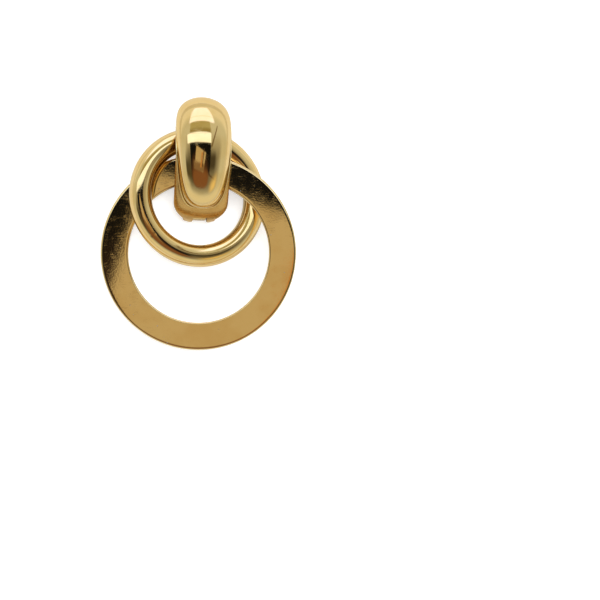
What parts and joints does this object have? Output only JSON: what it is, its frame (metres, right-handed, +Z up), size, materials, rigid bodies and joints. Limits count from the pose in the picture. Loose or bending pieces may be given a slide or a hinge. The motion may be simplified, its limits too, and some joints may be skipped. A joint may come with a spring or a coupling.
{
  "type": "doorknocker clip earring",
  "caption": "Clip-on earring: a domed hoop on a hinged clip, with a round tube ring and a flat plate ring linked through it and through each other.",
  "frame": {"origin": "centre of the object's box at its base, on the surface it lies on", "axes": "+Z up from the surface, +Y from the flat ring to the dome's top, +X to the right seen from the front"},
  "size_m": [0.0442, 0.0576, 0.0141],
  "materials": {
    "polished_gold": "gold plate, mirror polished",
    "flat_gold": "gold plate, polished with fine wear"
  },
  "bodies": {
    "earring": {"hoop": "polished_gold", "round_ring": "polished_gold", "flat_ring": "flat_gold", "hinge_pin": "flat_gold"},
    "clip": {"clip_paddle": "polished_gold"}
  },
  "joints": [
    {"name": "clip_hinge", "type": "hinge", "parent": "earring", "child": "clip", "pos_m": [0.0003, 0.00244, 0.00175], "axis": [-1, 0, 0], "range_deg": [0, 90]}
  ]
}
